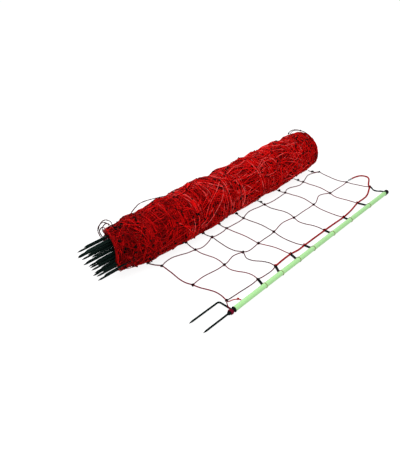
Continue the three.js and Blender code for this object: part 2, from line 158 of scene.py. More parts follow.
# Fibre: the fine streaks of drawn polyethylene filaments, and slow patches of lighter and darker tone.
fibre, fibre_in, fibre_out = node_group(
    "fibre",
    {"Grain per metre": 900.0, "Patches per metre": 14.0},
    {"Streak": "NodeSocketFloat", "Patch": "NodeSocketFloat"},
)
fibre_place = fibre.nodes.new("ShaderNodeTexCoord")
fibre_fine = fibre.nodes.new("ShaderNodeTexNoise")
fibre_slow = fibre.nodes.new("ShaderNodeTexNoise")
fibre_fine.inputs["Detail"].default_value = 3
fibre_slow.inputs["Detail"].default_value = 2
fibre.links.new(fibre_place.outputs["Object"], fibre_fine.inputs["Vector"])
fibre.links.new(fibre_place.outputs["Object"], fibre_slow.inputs["Vector"])
fibre.links.new(fibre_in.outputs["Grain per metre"], fibre_fine.inputs["Scale"])
fibre.links.new(fibre_in.outputs["Patches per metre"], fibre_slow.inputs["Scale"])
fibre.links.new(fibre_fine.outputs["Fac"], fibre_out.inputs["Streak"])
fibre.links.new(fibre_slow.outputs["Fac"], fibre_out.inputs["Patch"])


def twine_finish(name, dark, bright, wear_and_sheen, patch_share, grain, roughness, bump):
    """Twisted polyethylene: the strand's own tone and slow lighter and darker patches pick its colour on a ramp
    from dark to bright, whose lightest stop is a painted highlight, and fine streaks give its nap.
    """
    made = bpy.data.materials.new(name)
    made.use_nodes = True
    nodes, links = made.node_tree.nodes, made.node_tree.links
    shader = nodes["Principled BSDF"]
    shader.inputs["Specular IOR Level"].default_value = 0.03
    filaments = nodes.new("ShaderNodeGroup")
    filaments.node_tree = fibre
    filaments.inputs["Grain per metre"].default_value = grain
    tone = nodes.new("ShaderNodeAttribute")
    tone.attribute_name = "tone"
    share = nodes.new("ShaderNodeMix")
    share.inputs["Factor"].default_value = patch_share
    links.new(tone.outputs["Fac"], share.inputs["A"])
    links.new(filaments.outputs["Patch"], share.inputs["B"])
    dye = nodes.new("ShaderNodeValToRGB")
    dye.color_ramp.elements[0].position = 0.1
    dye.color_ramp.elements[0].color = (*dark, 1)
    dye.color_ramp.elements[1].position = 0.65
    dye.color_ramp.elements[1].color = (*bright, 1)
    dye.color_ramp.elements.new(0.84).color = (*bright, 1)
    # Painted highlight: the lightest tones end in a paler colour that stands in for light glinting off the twine.
    dye.color_ramp.elements.new(0.97).color = (*wear_and_sheen, 1)
    links.new(share.outputs["Result"], dye.inputs["Fac"])
    links.new(dye.outputs["Color"], shader.inputs["Base Color"])
    gloss = nodes.new("ShaderNodeMapRange")
    gloss.inputs["To Min"].default_value = roughness - 0.12
    gloss.inputs["To Max"].default_value = roughness + 0.12
    links.new(filaments.outputs["Streak"], gloss.inputs["Value"])
    links.new(gloss.outputs["Result"], shader.inputs["Roughness"])
    nap = nodes.new("ShaderNodeBump")
    nap.inputs["Strength"].default_value = bump
    nap.inputs["Distance"].default_value = 0.0004
    links.new(filaments.outputs["Streak"], nap.inputs["Height"])
    links.new(nap.outputs["Normal"], shader.inputs["Normal"])
    return made


cord_red = twine_finish(
    "cord_red", (0.03, 0.0008, 0.002), (0.26, 0.003, 0.006), (0.38, 0.03, 0.03), 0.35, 700, 0.55, 0.5
)
edge_cord_radius = 0.0040
edge_cord_lay = 0.022
tail_route = [spot(1107.5, 88.5, 5)] + [
    spot(x, y, 4.1)
    for x, y in (
        (1116, 97), (1137, 108), (1163, 120), (1183, 132), (1192, 147),
        (1187, 166), (1175, 177), (1158, 184), (1140, 188.5), (1122, 190.5),
    )
]
tail_path = smooth_path(tail_route, 0.0025)
tail_mesh = strand_mesh("edge_tail_cord", [tail_path], edge_cord_radius, edge_cord_lay, 12, 3)
edge_tail = hang("edge_tail_cord", tail_mesh, cord_red, "cord_red", "edge_tail")


def turned(bm, outline, sides, foot, closed=False):
    """Spin an outline of (along X, radius) points about the line along X through foot."""
    rim = [bm.verts.new(foot + Vector((along, radius, 0))) for along, radius in outline]
    pairs = zip(rim, rim[1:] + rim[:1]) if closed else zip(rim, rim[1:])
    edges = [bm.edges.new(pair) for pair in pairs]
    turn = {"cent": foot, "axis": (1, 0, 0), "angle": math.tau, "steps": sides, "use_merge": True}
    return bmesh.ops.spin(bm, geom=rim + edges, **turn)


def finished(name, bm, sharp=40):
    """Close up a mesh, point its faces outwards and keep only its real edges sharp."""
    bmesh.ops.remove_doubles(bm, verts=bm.verts, dist=0.000002)
    bmesh.ops.recalc_face_normals(bm, faces=bm.faces)
    mesh = bpy.data.meshes.new(name)
    bm.to_mesh(mesh)
    bm.free()
    mesh.shade_smooth()
    mesh.set_sharp_from_angle(angle=math.radians(sharp))
    return mesh


# Grain: the fine speckle of a moulded or coated face, scuffs along it, and dust that settles on what faces up.
grain, grain_in, grain_out = node_group(
    "grain",
    {"Speckle per metre": 700.0, "Scuffs per metre": 40.0, "Dust": 0.15},
    {"Speckle": "NodeSocketFloat", "Scuff": "NodeSocketFloat", "Dust": "NodeSocketFloat"},
)
grain_place = grain.nodes.new("ShaderNodeTexCoord")
grain_stretch = grain.nodes.new("ShaderNodeMapping")
grain_stretch.inputs["Scale"].default_value = (0.12, 1, 1)
grain_fine = grain.nodes.new("ShaderNodeTexNoise")
grain_scuff = grain.nodes.new("ShaderNodeTexNoise")
grain_scuff.inputs["Detail"].default_value = 6
grain_edge = grain.nodes.new("ShaderNodeMapRange")
grain_edge.inputs["From Min"].default_value = 0.52
grain_edge.inputs["From Max"].default_value = 0.72
grain_normal = grain.nodes.new("ShaderNodeNewGeometry")
grain_up = grain.nodes.new("ShaderNodeSeparateXYZ")
grain_dust = grain.nodes.new("ShaderNodeMath")
grain_dust.operation = "MULTIPLY"
grain_dust.use_clamp = True
grain_amount = grain.nodes.new("ShaderNodeMath")
grain_amount.operation = "MULTIPLY"
for start, end in (
    (grain_place.outputs["Object"], grain_fine.inputs["Vector"]),
    (grain_place.outputs["Object"], grain_stretch.inputs["Vector"]),
    (grain_stretch.outputs["Vector"], grain_scuff.inputs["Vector"]),
    (grain_in.outputs["Speckle per metre"], grain_fine.inputs["Scale"]),
    (grain_in.outputs["Scuffs per metre"], grain_scuff.inputs["Scale"]),
    (grain_scuff.outputs["Fac"], grain_edge.inputs["Value"]),
    (grain_normal.outputs["Normal"], grain_up.inputs["Vector"]),
    (grain_up.outputs["Z"], grain_dust.inputs[0]),
    (grain_edge.outputs["Result"], grain_dust.inputs[1]),
    (grain_dust.outputs["Value"], grain_amount.inputs[0]),
    (grain_in.outputs["Dust"], grain_amount.inputs[1]),
    (grain_fine.outputs["Fac"], grain_out.inputs["Speckle"]),
    (grain_edge.outputs["Result"], grain_out.inputs["Scuff"]),
    (grain_amount.outputs["Value"], grain_out.inputs["Dust"]),
):
    grain.links.new(start, end)


def hard_finish(name, base, scuffed, dusty, speckle, dust, roughness, metallic, bump, shine=0.15):
    """A moulded or coated face: its own colour, scuffed along its length, with a little dust on top."""
    made = bpy.data.materials.new(name)
    made.use_nodes = True
    nodes, links = made.node_tree.nodes, made.node_tree.links
    shader = nodes["Principled BSDF"]
    shader.inputs["Metallic"].default_value = metallic
    shader.inputs["Specular IOR Level"].default_value = shine
    face = nodes.new("ShaderNodeGroup")
    face.node_tree = grain
    face.inputs["Speckle per metre"].default_value = speckle
    face.inputs["Dust"].default_value = dust
    wear_and_sheen = nodes.new("ShaderNodeMix")
    wear_and_sheen.data_type = "RGBA"
    wear_and_sheen.inputs["A"].default_value = (*base, 1)
    wear_and_sheen.inputs["B"].default_value = (*scuffed, 1)
    links.new(face.outputs["Scuff"], wear_and_sheen.inputs["Factor"])
    dust_and_end_shade = nodes.new("ShaderNodeMix")
    dust_and_end_shade.data_type = "RGBA"
    dust_and_end_shade.inputs["B"].default_value = (*dusty, 1)
    links.new(wear_and_sheen.outputs["Result"], dust_and_end_shade.inputs["A"])
    links.new(face.outputs["Dust"], dust_and_end_shade.inputs["Factor"])
    links.new(dust_and_end_shade.outputs["Result"], shader.inputs["Base Color"])
    gloss = nodes.new("ShaderNodeMapRange")
    gloss.inputs["To Min"].default_value = roughness
    gloss.inputs["To Max"].default_value = roughness + 0.18
    links.new(face.outputs["Scuff"], gloss.inputs["Value"])
    links.new(gloss.outputs["Result"], shader.inputs["Roughness"])
    tooth = nodes.new("ShaderNodeBump")
    tooth.inputs["Strength"].default_value = bump
    tooth.inputs["Distance"].default_value = 0.0002
    links.new(face.outputs["Speckle"], tooth.inputs["Height"])
    links.new(tooth.outputs["Normal"], shader.inputs["Normal"])
    return made


bare_steel = hard_finish(
    "bare_steel", (0.30, 0.33, 0.34), (0.16, 0.17, 0.18), (0.4, 0.38, 0.35), 900, 0.2, 0.3, 0.9, 0.15
)
connector_length = 0.026
connector = bmesh.new()
turned(
    connector,
    [
        (0, 0), (0, 0.0031), (0.0008, 0.0040), (0.0055, 0.0040), (0.0065, 0.0033), (0.0085, 0.0033),
        (0.0095, 0.0040), (0.0145, 0.0040), (0.0155, 0.0033), (0.0175, 0.0033), (0.0185, 0.0040),
        (0.0252, 0.0040), (connector_length, 0.0031), (connector_length, 0),
    ],
    24,
    Vector((0, 0, 0)),
)
connector_turn = Matrix.Rotation(math.atan2(-2, 18), 4, "Z")
connector_start = Matrix.Translation(spot(1121.4, 190.5, 4))
backwards = Matrix.Translation((-connector_length, 0, 0))
bmesh.ops.transform(connector, matrix=connector_start @ connector_turn @ backwards, verts=connector.verts)
tail_connector = hang(
    "edge_tail_connector", finished("edge_tail_connector", connector), bare_steel, "bare_steel", "tail_connector"
)


# The ground line's free end at the corner: a short length of thinner laid cord, with an overhand knot pulled
# tight in it. It lies on the ground beside the laid-out post.
corner_cord_radius = 0.0021
corner_route = [
    spot(x, y, 2.4) for x, y in ((23, 46), (28, 43.5), (36, 41.5), (46, 38), (56, 29), (62, 19))
]
corner_path = smooth_path(corner_route, 0.0015)
least_height = 0.0024
corner_mesh = strand_mesh("corner_tail_cord", [corner_path], corner_cord_radius, 0.012, 12, 3)
corner_tail = hang("corner_tail_cord", corner_mesh, cord_red, "cord_red", "corner_tail")


def knot_path(centre, size, turn, points):
    """The closed line of an overhand knot pulled up to a size, turned about each axis, and not under the floor."""
    spun = Matrix.Rotation(turn[0], 3, "X") @ Matrix.Rotation(turn[1], 3, "Y") @ Matrix.Rotation(turn[2], 3, "Z")
    path = []
    for k in range(points + 1):
        t = math.tau * k / points
        line = Vector((
            math.sin(t) + 2 * math.sin(2 * t), math.cos(t) - 2 * math.cos(2 * t), -1.3 * math.sin(3 * t)
        ))
        place = centre + spun @ line * (size / 6)
        place.z = max(place.z, least_height)
        path.append(place)
    return path


tail_knot_mesh = strand_mesh(
    "corner_tail_knot", [knot_path(spot(56, 29, 4.6), 0.0076, (0.3, 0.2, 1.1), 36)], 0.0018, 0.012, 9, 3
)
tail_knot = hang("corner_tail_knot", tail_knot_mesh, cord_red, "cord_red", "corner_tail")


# The studio: a white floor that is lit from below like a light table, under an even white sky, and two large
# soft lamps.
floor = bmesh.new()
bmesh.ops.create_grid(floor, x_segments=1, y_segments=1, size=20)
floor_mesh = bpy.data.meshes.new("studio_floor")
floor.to_mesh(floor_mesh)
floor.free()
studio_floor = bpy.data.objects.new("studio_floor", floor_mesh)
bpy.context.collection.objects.link(studio_floor)
floor_paint = bpy.data.materials.new("studio_floor")
floor_paint.use_nodes = True
floor_paint.node_tree.nodes["Principled BSDF"].inputs["Base Color"].default_value = (0.15, 0.15, 0.15, 1)
floor_paint.node_tree.nodes["Principled BSDF"].inputs["Roughness"].default_value = 0.9
floor_paint.node_tree.nodes["Principled BSDF"].inputs["Specular IOR Level"].default_value = 0.1
floor_paint.node_tree.nodes["Principled BSDF"].inputs["Emission Color"].default_value = (1, 1, 1, 1)
floor_paint.node_tree.nodes["Principled BSDF"].inputs["Emission Strength"].default_value = 0.89
floor_mesh.materials.append(floor_paint)

sky = bpy.data.worlds.new("studio_sky")
sky.use_nodes = True
sky.node_tree.nodes["Background"].inputs["Color"].default_value = (1, 1, 1, 1)
sky.node_tree.nodes["Background"].inputs["Strength"].default_value = 0.85
bpy.context.scene.world = sky
bpy.context.scene.view_settings.view_transform = "Standard"
for lamp_name, lamp_place, lamp_size, lamp_power in (
    ("key_lamp", (-1.2, -0.6, 2.4), 1.6, 55),
    ("back_lamp", (0.9, 1.9, 2.0), 1.8, 40),
):
    lamp_light = bpy.data.lights.new(lamp_name, "AREA")
    lamp_light.size = lamp_size
    lamp_light.energy = lamp_power
    lamp = bpy.data.objects.new(lamp_name, lamp_light)
    bpy.context.collection.objects.link(lamp)
    lamp.location = lamp_place
    lamp.rotation_euler = (Vector((0, 0.05, 0.05)) - lamp.location).to_track_quat("-Z", "Y").to_euler()


# The laid-out post's tube: pale green plastic, extruded as a pipe and cut square at both ends. It is smooth,
# with a few faint scuffs along it.
tube_radius = 0.0095
tube_wall = 0.003
tube_foot = 0.0016
tube_top = 1.0987
post_green = hard_finish(
    "post_green", (0.29, 0.53, 0.23), (0.25, 0.46, 0.20), (0.42, 0.54, 0.36), 500, 0.2, 0.4, 0.0, 0.08
)
tube = bmesh.new()
turned(
    tube,
    [
        (tube_foot, tube_radius - tube_wall), (tube_foot, tube_radius - 0.0004), (tube_foot + 0.0004, tube_radius),
        (tube_top - 0.0004, tube_radius), (tube_top, tube_radius - 0.0004), (tube_top, tube_radius - tube_wall),
    ],
    48,
    post_axis,
    closed=True,
)
hang("laid_post_tube", finished("laid_post_tube", tube), post_green, "post_green", "post_tube")


# The cap that closes the tube's top: black moulded polyethylene, a push fit over the tube. It has a rolled rim
# at its mouth and a shallow dish in its face.
moulded_black = hard_finish(
    "moulded_black", (0.003, 0.004, 0.004), (0.010, 0.012, 0.012), (0.05, 0.05, 0.045), 800, 0.12, 0.55, 0.0, 0.25,
    0.02
)
cap_mouth = 1.0787
cap_face = 1.104
cap_radius = 0.0108
cap_bore = 0.0098
cap = bmesh.new()
turned(
    cap,
    [
        (cap_mouth, cap_bore), (cap_mouth, cap_radius - 0.0002), (cap_mouth + 0.0006, cap_radius + 0.0005),
        (cap_mouth + 0.0024, cap_radius + 0.0005), (cap_mouth + 0.0032, cap_radius),
        (cap_face - 0.003, cap_radius), (cap_face - 0.0012, cap_radius - 0.0006),
        (cap_face - 0.0003, cap_radius - 0.002), (cap_face, cap_radius - 0.0035), (cap_face - 0.0004, 0.003),
        (cap_face - 0.0008, 0),
    ],
    40,
    post_axis,
)
turned(cap, [(cap_mouth, cap_bore), (tube_top + 0.0003, cap_bore), (tube_top + 0.0003, 0)], 40, post_axis)
hang("laid_post_cap", finished("laid_post_cap", cap), moulded_black, "moulded_black", "post_cap")


# The foot: moulded black polyethylene, a collar that stops the tube, a ribbed nose down over the fork's inner
# prong and a spigot up into the tube.
collar_top = 0.0013
nose_end = -0.031
nose_radius = 0.0065
spigot_radius = 0.0062
spigot_top = 0.028


def foot_shape(bm, foot, collar_radius):
    turned(
        bm,
        [
            (nose_end, 0), (nose_end, 0.0042), (nose_end + 0.0012, 0.0058), (nose_end + 0.003, nose_radius),
            (-0.0255, nose_radius), (-0.0248, 0.0060), (-0.0236, 0.0060), (-0.0229, nose_radius),
            (-0.009, nose_radius), (-0.003, 0.0072), (-0.0012, collar_radius - 0.0012), (-0.0004, collar_radius),
            (collar_top - 0.0003, collar_radius), (collar_top, collar_radius - 0.0004),
            (collar_top, spigot_radius), (spigot_top - 0.002, spigot_radius), (spigot_top, spigot_radius - 0.0015),
            (spigot_top, 0),
        ],
        36,
        foot,
    )


foot = bmesh.new()
foot_shape(foot, post_axis, cap_radius)
hang("laid_post_foot", finished("laid_post_foot", foot), moulded_black, "moulded_black", "post_foot")


# The fork: round steel bar under dark green paint. One bar is bent square for the crossbar and the outer prong,
# and welded across the inner prong, whose shank goes up into the foot. Both prongs are ground to a point.
spike_paint = hard_finish(
    "spike_paint", (0.0015, 0.005, 0.004), (0.006, 0.015, 0.012), (0.04, 0.05, 0.045), 600, 0.12, 0.5, 0.0, 0.3,
    0.03
)
rod_radius = 0.0035
crossbar_x = -0.006
prong_tip = -0.151
prong_spacing = 0.062
prong_point = 0.016
shank_top = 0.020
rod_bend = 0.009
rod_sides = 16


def fork_shape(bm, place):
    """A fork with the post's axis on X and its crossbar towards +Y, moved to its place."""
    before = set(bm.verts)
    origin = Vector((0, 0, 0))
    point = [(0, 0), (0.0006, 0.0006), (prong_point * 0.55, rod_radius * 0.72), (prong_point, rod_radius)]
    inner = [(prong_tip + along, radius) for along, radius in point]
    weld = [(-0.0110, rod_radius), (-0.0098, 0.0042), (-0.006, 0.0045), (-0.0022, 0.0042), (-0.0010, rod_radius)]
    turned(bm, inner + weld + [(shank_top, rod_radius), (shank_top, 0)], rod_sides, origin)
    ring = bmesh.ops.create_circle(
        bm, segments=rod_sides, radius=rod_radius,
        matrix=Matrix.Translation((crossbar_x, 0, 0)) @ Matrix.Rotation(math.pi / 2, 4, "X"),
    )["verts"]
    edges = list({edge for vert in ring for edge in vert.link_edges})
    drawn = bmesh.ops.extrude_edge_only(bm, edges=edges)["geom"]
    corner = [part for part in drawn if isinstance(part, bmesh.types.BMVert)]
    bmesh.ops.translate(bm, vec=(0, prong_spacing - rod_bend, 0), verts=corner)
    rim = [part for part in drawn if isinstance(part, bmesh.types.BMEdge)]
    bent = bmesh.ops.spin(
        bm, geom=corner + rim, cent=(crossbar_x - rod_bend, prong_spacing - rod_bend, 0), axis=(0, 0, 1),
        angle=math.pi / 2, steps=8,
    )["geom_last"]
    rim = [part for part in bent if isinstance(part, bmesh.types.BMEdge)]
    for along, radius in reversed([(prong_tip + step, size) for step, size in point]):
        drawn = bmesh.ops.extrude_edge_only(bm, edges=rim)["geom"]
        corner = [part for part in drawn if isinstance(part, bmesh.types.BMVert)]
        rim = [part for part in drawn if isinstance(part, bmesh.types.BMEdge)]
        for vert in corner:
            vert.co.x = along
            across = Vector((0, vert.co.y - prong_spacing, vert.co.z))
            across = across.normalized() * max(radius, 0.00001)
            vert.co.y = prong_spacing + across.y
            vert.co.z = across.z
    bmesh.ops.contextual_create(bm, geom=rim)
    bmesh.ops.transform(bm, matrix=place, verts=[vert for vert in bm.verts if vert not in before])


fork = bmesh.new()
fork_shape(fork, Matrix.Translation(post_axis))
hang("laid_post_fork", finished("laid_post_fork", fork), spike_paint, "spike_steel", "post_fork")


# The spread netting: nine lines with cross strings at every cell, in thin twine of twisted polyethylene and
# steel wires, dark against the ground. It lies on the ground from the post's edge to under the roll.
line_up_post = [0, 170, 273, 376, 479, 629, 779, 929, 1079]
column_away = [41, 189, 345]
knot_slips = [
    [(22, 10), (17, 3), (20, 3), (19, 6), (2, 0), (0, -1), (-5, -5), (-4, 11), (25, 44)],
    [(3, 4), (-1, 0), (6, 0), (-7, -6), (-1, -2), (-2, 1), (0, 0), (-7, 2), (-7, 1)],
    [(4, 9), (-5, -10), (2, 1), (-11, 1), (-4, 0), (0, 4), (4, 0), (2, -1), (-4, 1)],
]
line_bends = [
    [(-16, -4), (-4, -10), (11, -14), (-12, 0), (10, 0), (2, -9), (7, -1), (6, -5), (0, 0)],
    [(5, 4), (-9, -5), (11, 3), (-8, -1), (-11, -1), (-11, -8), (-19, -1), (-14, -2), (8, 3)],
]
string_bends = [
    [(0, 1), (-4, 1)],
    [(7, 3), (12, -4), (-6, -2), (1, 1), (14, -2), (2, 0), (22, -9), (0, 1)],
    [(17, 5), (-10, -2), (-4, 0), (-1, 1), (17, 2), (-5, -1), (8, 10), (22, -4)],
]
under_roll = [
    (-19, 406), (176, 396), (272, 393), (369, 391), (484, 391), (637, 374), (780, 378), (930, 373), (1055, 372)
]
net_knot_height = 5
twine_height = 2.2


def knot_spot(column, line, height=net_knot_height):
    slip = knot_slips[column][line]
    return spot(line_up_post[line] + slip[0], column_away[column] + slip[1], height)


def lie_between(start, end, bow, curl):
    """The places between two knots where a piece of twine lies on the ground, bowed to one side and curled."""
    along = end - start
    aside = Vector((-along.y, along.x, 0)).normalized() / 1000
    places = []
    for share in (0.2, 0.4, 0.6, 0.8):
        reach = bow * math.sin(math.pi * share) + curl * math.sin(math.tau * share)
        place = start + along * share + aside * reach
        place.z = twine_height / 1000
        places.append(place)
    return places


twine_radius = 0.0022
ground_line_radius = 0.0027
net_twine = twine_finish(
    "net_twine", (0.028, 0.001, 0.005), (0.13, 0.003, 0.016), (0.18, 0.01, 0.02), 0.3, 900, 0.6, 0.4
)
net_paths = []
for line in range(9):
    route = [knot_spot(0, line)]
    for column in (0, 1):
        end = knot_spot(column + 1, line)
        route += lie_between(route[-1], end, *line_bends[column][line]) + [end]
    edge_of_roll = spot(*under_roll[line], 3.2)
    middle = (route[-1] + edge_of_roll) / 2
    middle.z = twine_height / 1000
    route += [middle, edge_of_roll, edge_of_roll + Vector((0, 0.024, -0.0005))]
    net_paths.append(smooth_path(route, 0.0016))
for column, bends in enumerate(string_bends):
    route = [knot_spot(column, 0)]
    for line, bend in enumerate(bends):
        end = knot_spot(column, line + 1)
        route += lie_between(route[-1], end, *bend) + [end]
    net_paths.append(smooth_path(route, 0.0016))
ground_mesh = strand_mesh("ground_line_twine", net_paths[:1], ground_line_radius, 0.012, 6, 3)
hang("ground_line_twine", ground_mesh, net_twine, "net_twine", "netting_spread")
net_mesh = strand_mesh("spread_twine", net_paths[1:], twine_radius, 0.011, 6, 3)
hang("spread_twine", net_mesh, net_twine, "net_twine", "netting_spread")


# The knots where a string crosses a line: each is tied in the twine itself and pulled tight, and looks black.
# The last ones lie where the lines go under the roll.
knot_black = twine_finish(
    "knot_black", (0.002, 0.001, 0.001), (0.012, 0.003, 0.003), (0.03, 0.006, 0.006), 0.5, 900, 0.6, 0.6
)
knot_paths = []
dice = random.Random(7)
for column in range(3):
    for line in range(9):
        turn = (dice.uniform(-0.5, 0.5), dice.uniform(-0.5, 0.5), dice.uniform(0, 6))
        knot_paths.append(knot_path(knot_spot(column, line), 0.0090, turn, 30))
for place in under_roll:
    turn = (dice.uniform(-0.5, 0.5), dice.uniform(-0.5, 0.5), dice.uniform(0, 6))
    knot_paths.append(knot_path(spot(*place, net_knot_height), 0.0100, turn, 30))
knot_mesh = strand_mesh("spread_knots", knot_paths, 0.0025, 0.02, 6, 0)
hang("spread_knots", knot_mesh, knot_black, "moulded_black", "netting_spread")


# The edge cord: the same thick laid cord as the tail. It runs along the net's edge from the third line to the
# top one and is tied in at each line with a knot of thinner cord.
cord_height = 4.9
edge_route = []
for line in range(2, 9):
    edge_route.append(knot_spot(0, line, cord_height))
    if line < 8:
        bow = -14 if line == 7 else 2.5 * math.sin(4 * (line - 2) + 1)
        middle = (knot_spot(0, line) + knot_spot(0, line + 1)) / 2 + Vector((0, bow / 1000, 0))
        middle.z = edge_cord_radius + 0.0001
        edge_route.append(middle)
edge_path = smooth_path(edge_route, 0.0025)
edge_mesh = strand_mesh("edge_cord_laid", [edge_path], edge_cord_radius, edge_cord_lay, 12, 3)
hang("edge_cord_laid", edge_mesh, cord_red, "cord_red", "edge_cord")
tie_size = 0.0095
tie_cord_radius = 0.0020
beside_knot = Vector((0.004, 0.002, 0))
tie_paths = []
for line in range(2, 9):
    tie_place = knot_spot(0, line, 6) + beside_knot
    tie_paths.append(knot_path(tie_place, tie_size, (0.3, 0.2, 0.7 * line), 24))
tie_mesh = strand_mesh("edge_cord_ties", tie_paths, tie_cord_radius, 0.02, 8, 0)
hang("edge_cord_ties", tie_mesh, cord_red, "cord_red", "edge_cord")


# The clips: a thin brown wire band sprung round the tube at each line, and a black moulded strap from the band
# out to the edge cord, where its eye closes round the knot.
band_brown = hard_finish(
    "band_brown", (0.20, 0.13, 0.045), (0.11, 0.07, 0.03), (0.30, 0.26, 0.20), 900, 0.2, 0.4, 0.1, 0.2
)
clip_up_post = {1: 170, 2: 269, 3: 380, 4: 480, 5: 625, 6: 767, 7: 930}
band_radius = 0.0106
band_wire = 0.0008
strap_half_width = 0.0046
strap_half_thickness = 0.0025
for line, up_post in clip_up_post.items():
    at_post = post_axis + Vector((up_post / 1000, 0, 0))
    band = bmesh.new()
    wire = [
        (band_wire * math.cos(math.tau * k / 8), band_radius + band_wire * math.sin(math.tau * k / 8))
        for k in range(8)
    ]
    turned(band, wire, 40, at_post, closed=True)
    hang(f"clip_ring_{line}", finished(f"clip_ring_{line}", band), band_brown, "band_brown", f"clip_band_{line}")
    start = at_post + Vector((0, band_radius + band_wire, -0.003))
    eye = knot_spot(0, line)
    along = eye - start
    reach = along.length
    strap = bmesh.new()
    bmesh.ops.create_cube(strap, size=1)
    bmesh.ops.scale(
        strap, vec=(reach - 0.004, 2 * strap_half_width, 2 * strap_half_thickness), verts=strap.verts
    )
    bmesh.ops.translate(strap, vec=((reach - 0.004) / 2 + 0.0002, 0, 0), verts=strap.verts)
    bmesh.ops.bevel(
        strap, geom=strap.edges[:], offset=0.0009, affect="EDGES", segments=3, profile=0.5, material=-1
    )
    frame_turn = Matrix((along.normalized(), Vector((-along.y, along.x, 0)).normalized(), Vector((0, 0, 1))))
    frame_turn[2] = frame_turn[0].cross(frame_turn[1])
    strap_place = Matrix.Translation(start) @ frame_turn.transposed().to_4x4()
    bmesh.ops.transform(strap, matrix=strap_place, verts=strap.verts)
    eye_ring = bmesh.new()
    loop = [
        (0.0016 * math.cos(math.tau * k / 8), 0.0050 + 0.0016 * math.sin(math.tau * k / 8)) for k in range(8)
    ]
    turned(eye_ring, loop, 24, Vector((0, 0, 0)), closed=True)
    eye_turn = Matrix.Rotation(math.pi / 2, 4, "Y")
    bmesh.ops.transform(eye_ring, matrix=Matrix.Translation(eye) @ eye_turn, verts=eye_ring.verts)
    ring_mesh = finished(f"strap_eye_{line}", eye_ring)
    strap.from_mesh(ring_mesh)
    bpy.data.meshes.remove(ring_mesh)
    strap_name = f"clip_strap_moulded_{line}"
    hang(strap_name, finished(strap_name, strap), moulded_black, "moulded_black", f"clip_strap_{line}")


# The top strap: a kinked black plastic cord. It comes off the cap, lies on the ground in a bend, and is tied
# to the knot of the top line.
strap_route = [
    spot(1096, 12.5, 10.2), spot(1098, 24.8, 6.8), spot(1091, 42, 3.9), spot(1090, 58, 3.9),
    spot(1102, 74, 3.9), spot(1104, 79, 5),
]
top_strap_mesh = strand_mesh("top_strap_cord", [smooth_path(strap_route, 0.002)], 0.0036, 0.05, 10, 2)
hang("top_strap_cord", top_strap_mesh, moulded_black, "moulded_black", "top_strap")
top_knot_mesh = strand_mesh(
    "top_strap_knot", [knot_path(spot(1104, 85, 5.4), 0.0100, (0.2, 0.1, 0.6), 36)], 0.0026, 0.03, 8, 0
)
hang("top_strap_knot", top_knot_mesh, knot_black, "moulded_black", "top_strap")


# The lashing: three turns of dark red twine round the foot's nose. Its end goes over the crossbar and out to
# the net's corner knot.
lashing_radius = 0.0020
lashing_turns = 3
lashing_steps = 20
coil_radius = nose_radius + lashing_radius + 0.0001
lashing_route = []
for k in range(lashing_turns * lashing_steps):
    turn_share = k / lashing_steps
    angle = math.tau * turn_share - 0.6
    along = -0.0215 + 0.0034 * turn_share
    lashing_route.append(post_axis + Vector((along, coil_radius * math.cos(angle), coil_radius * math.sin(angle))))
lashing_route += [
    spot(-9, 15, 15.5), spot(-5, 24, 16.3), spot(4, 34, 12.5), spot(13, 43, 7.5), spot(21, 50, 4.4)
]
lashing_mesh = strand_mesh(
    "foot_lashing_cord", [smooth_path(lashing_route, 0.0018)], lashing_radius, 0.012, 12, 3
)
hang("foot_lashing_cord", lashing_mesh, net_twine, "net_twine", "foot_lashing")


